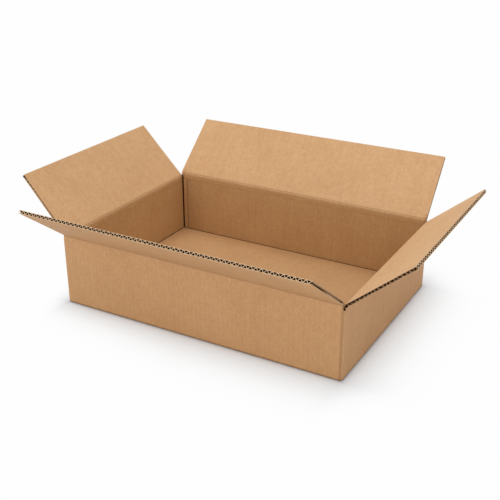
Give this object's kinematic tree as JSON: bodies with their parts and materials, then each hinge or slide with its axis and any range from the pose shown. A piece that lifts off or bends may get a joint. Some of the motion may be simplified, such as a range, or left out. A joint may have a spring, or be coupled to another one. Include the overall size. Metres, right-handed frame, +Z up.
{
  "type": "open cardboard box",
  "caption": "Low rectangular corrugated cardboard box, open at the top, with hinged flaps folded outward on every side.",
  "frame": {"origin": "middle of the body's underside, on the surface that the box stands on", "axes": "+Z up out of the open top, X along the long walls with +X towards the right end wall, -Y towards the front long wall"},
  "size_m": [0.5406, 0.4273, 0.1685],
  "materials": {
    "kraft_board": "matt brown kraft liner, unprinted",
    "kraft_flap": "matt brown kraft liner, unprinted, with cut edges that show the flutes"
  },
  "bodies": {
    "box_body": {"box_body": "kraft_board"},
    "front_flap": {"front_flap": "kraft_flap"},
    "right_flap": {"right_flap": "kraft_flap"},
    "back_flap": {"back_flap": "kraft_flap"},
    "left_flap": {"left_flap": "kraft_flap"}
  },
  "joints": [
    {"name": "front_flap_fold", "type": "hinge", "parent": "box_body", "child": "front_flap", "pos_m": [0, -0.14015, 0.098], "axis": [1, 0, 0], "range_deg": [-143, 107]},
    {"name": "right_flap_fold", "type": "hinge", "parent": "box_body", "child": "right_flap", "pos_m": [0.20015, 0, 0.0935], "axis": [0, 1, 0], "range_deg": [-140, 110]},
    {"name": "back_flap_fold", "type": "hinge", "parent": "box_body", "child": "back_flap", "pos_m": [0, 0.14015, 0.098], "axis": [-1, 0, 0], "range_deg": [-136, 114]},
    {"name": "left_flap_fold", "type": "hinge", "parent": "box_body", "child": "left_flap", "pos_m": [-0.20015, 0, 0.0935], "axis": [0, -1, 0], "range_deg": [-133, 117]}
  ]
}
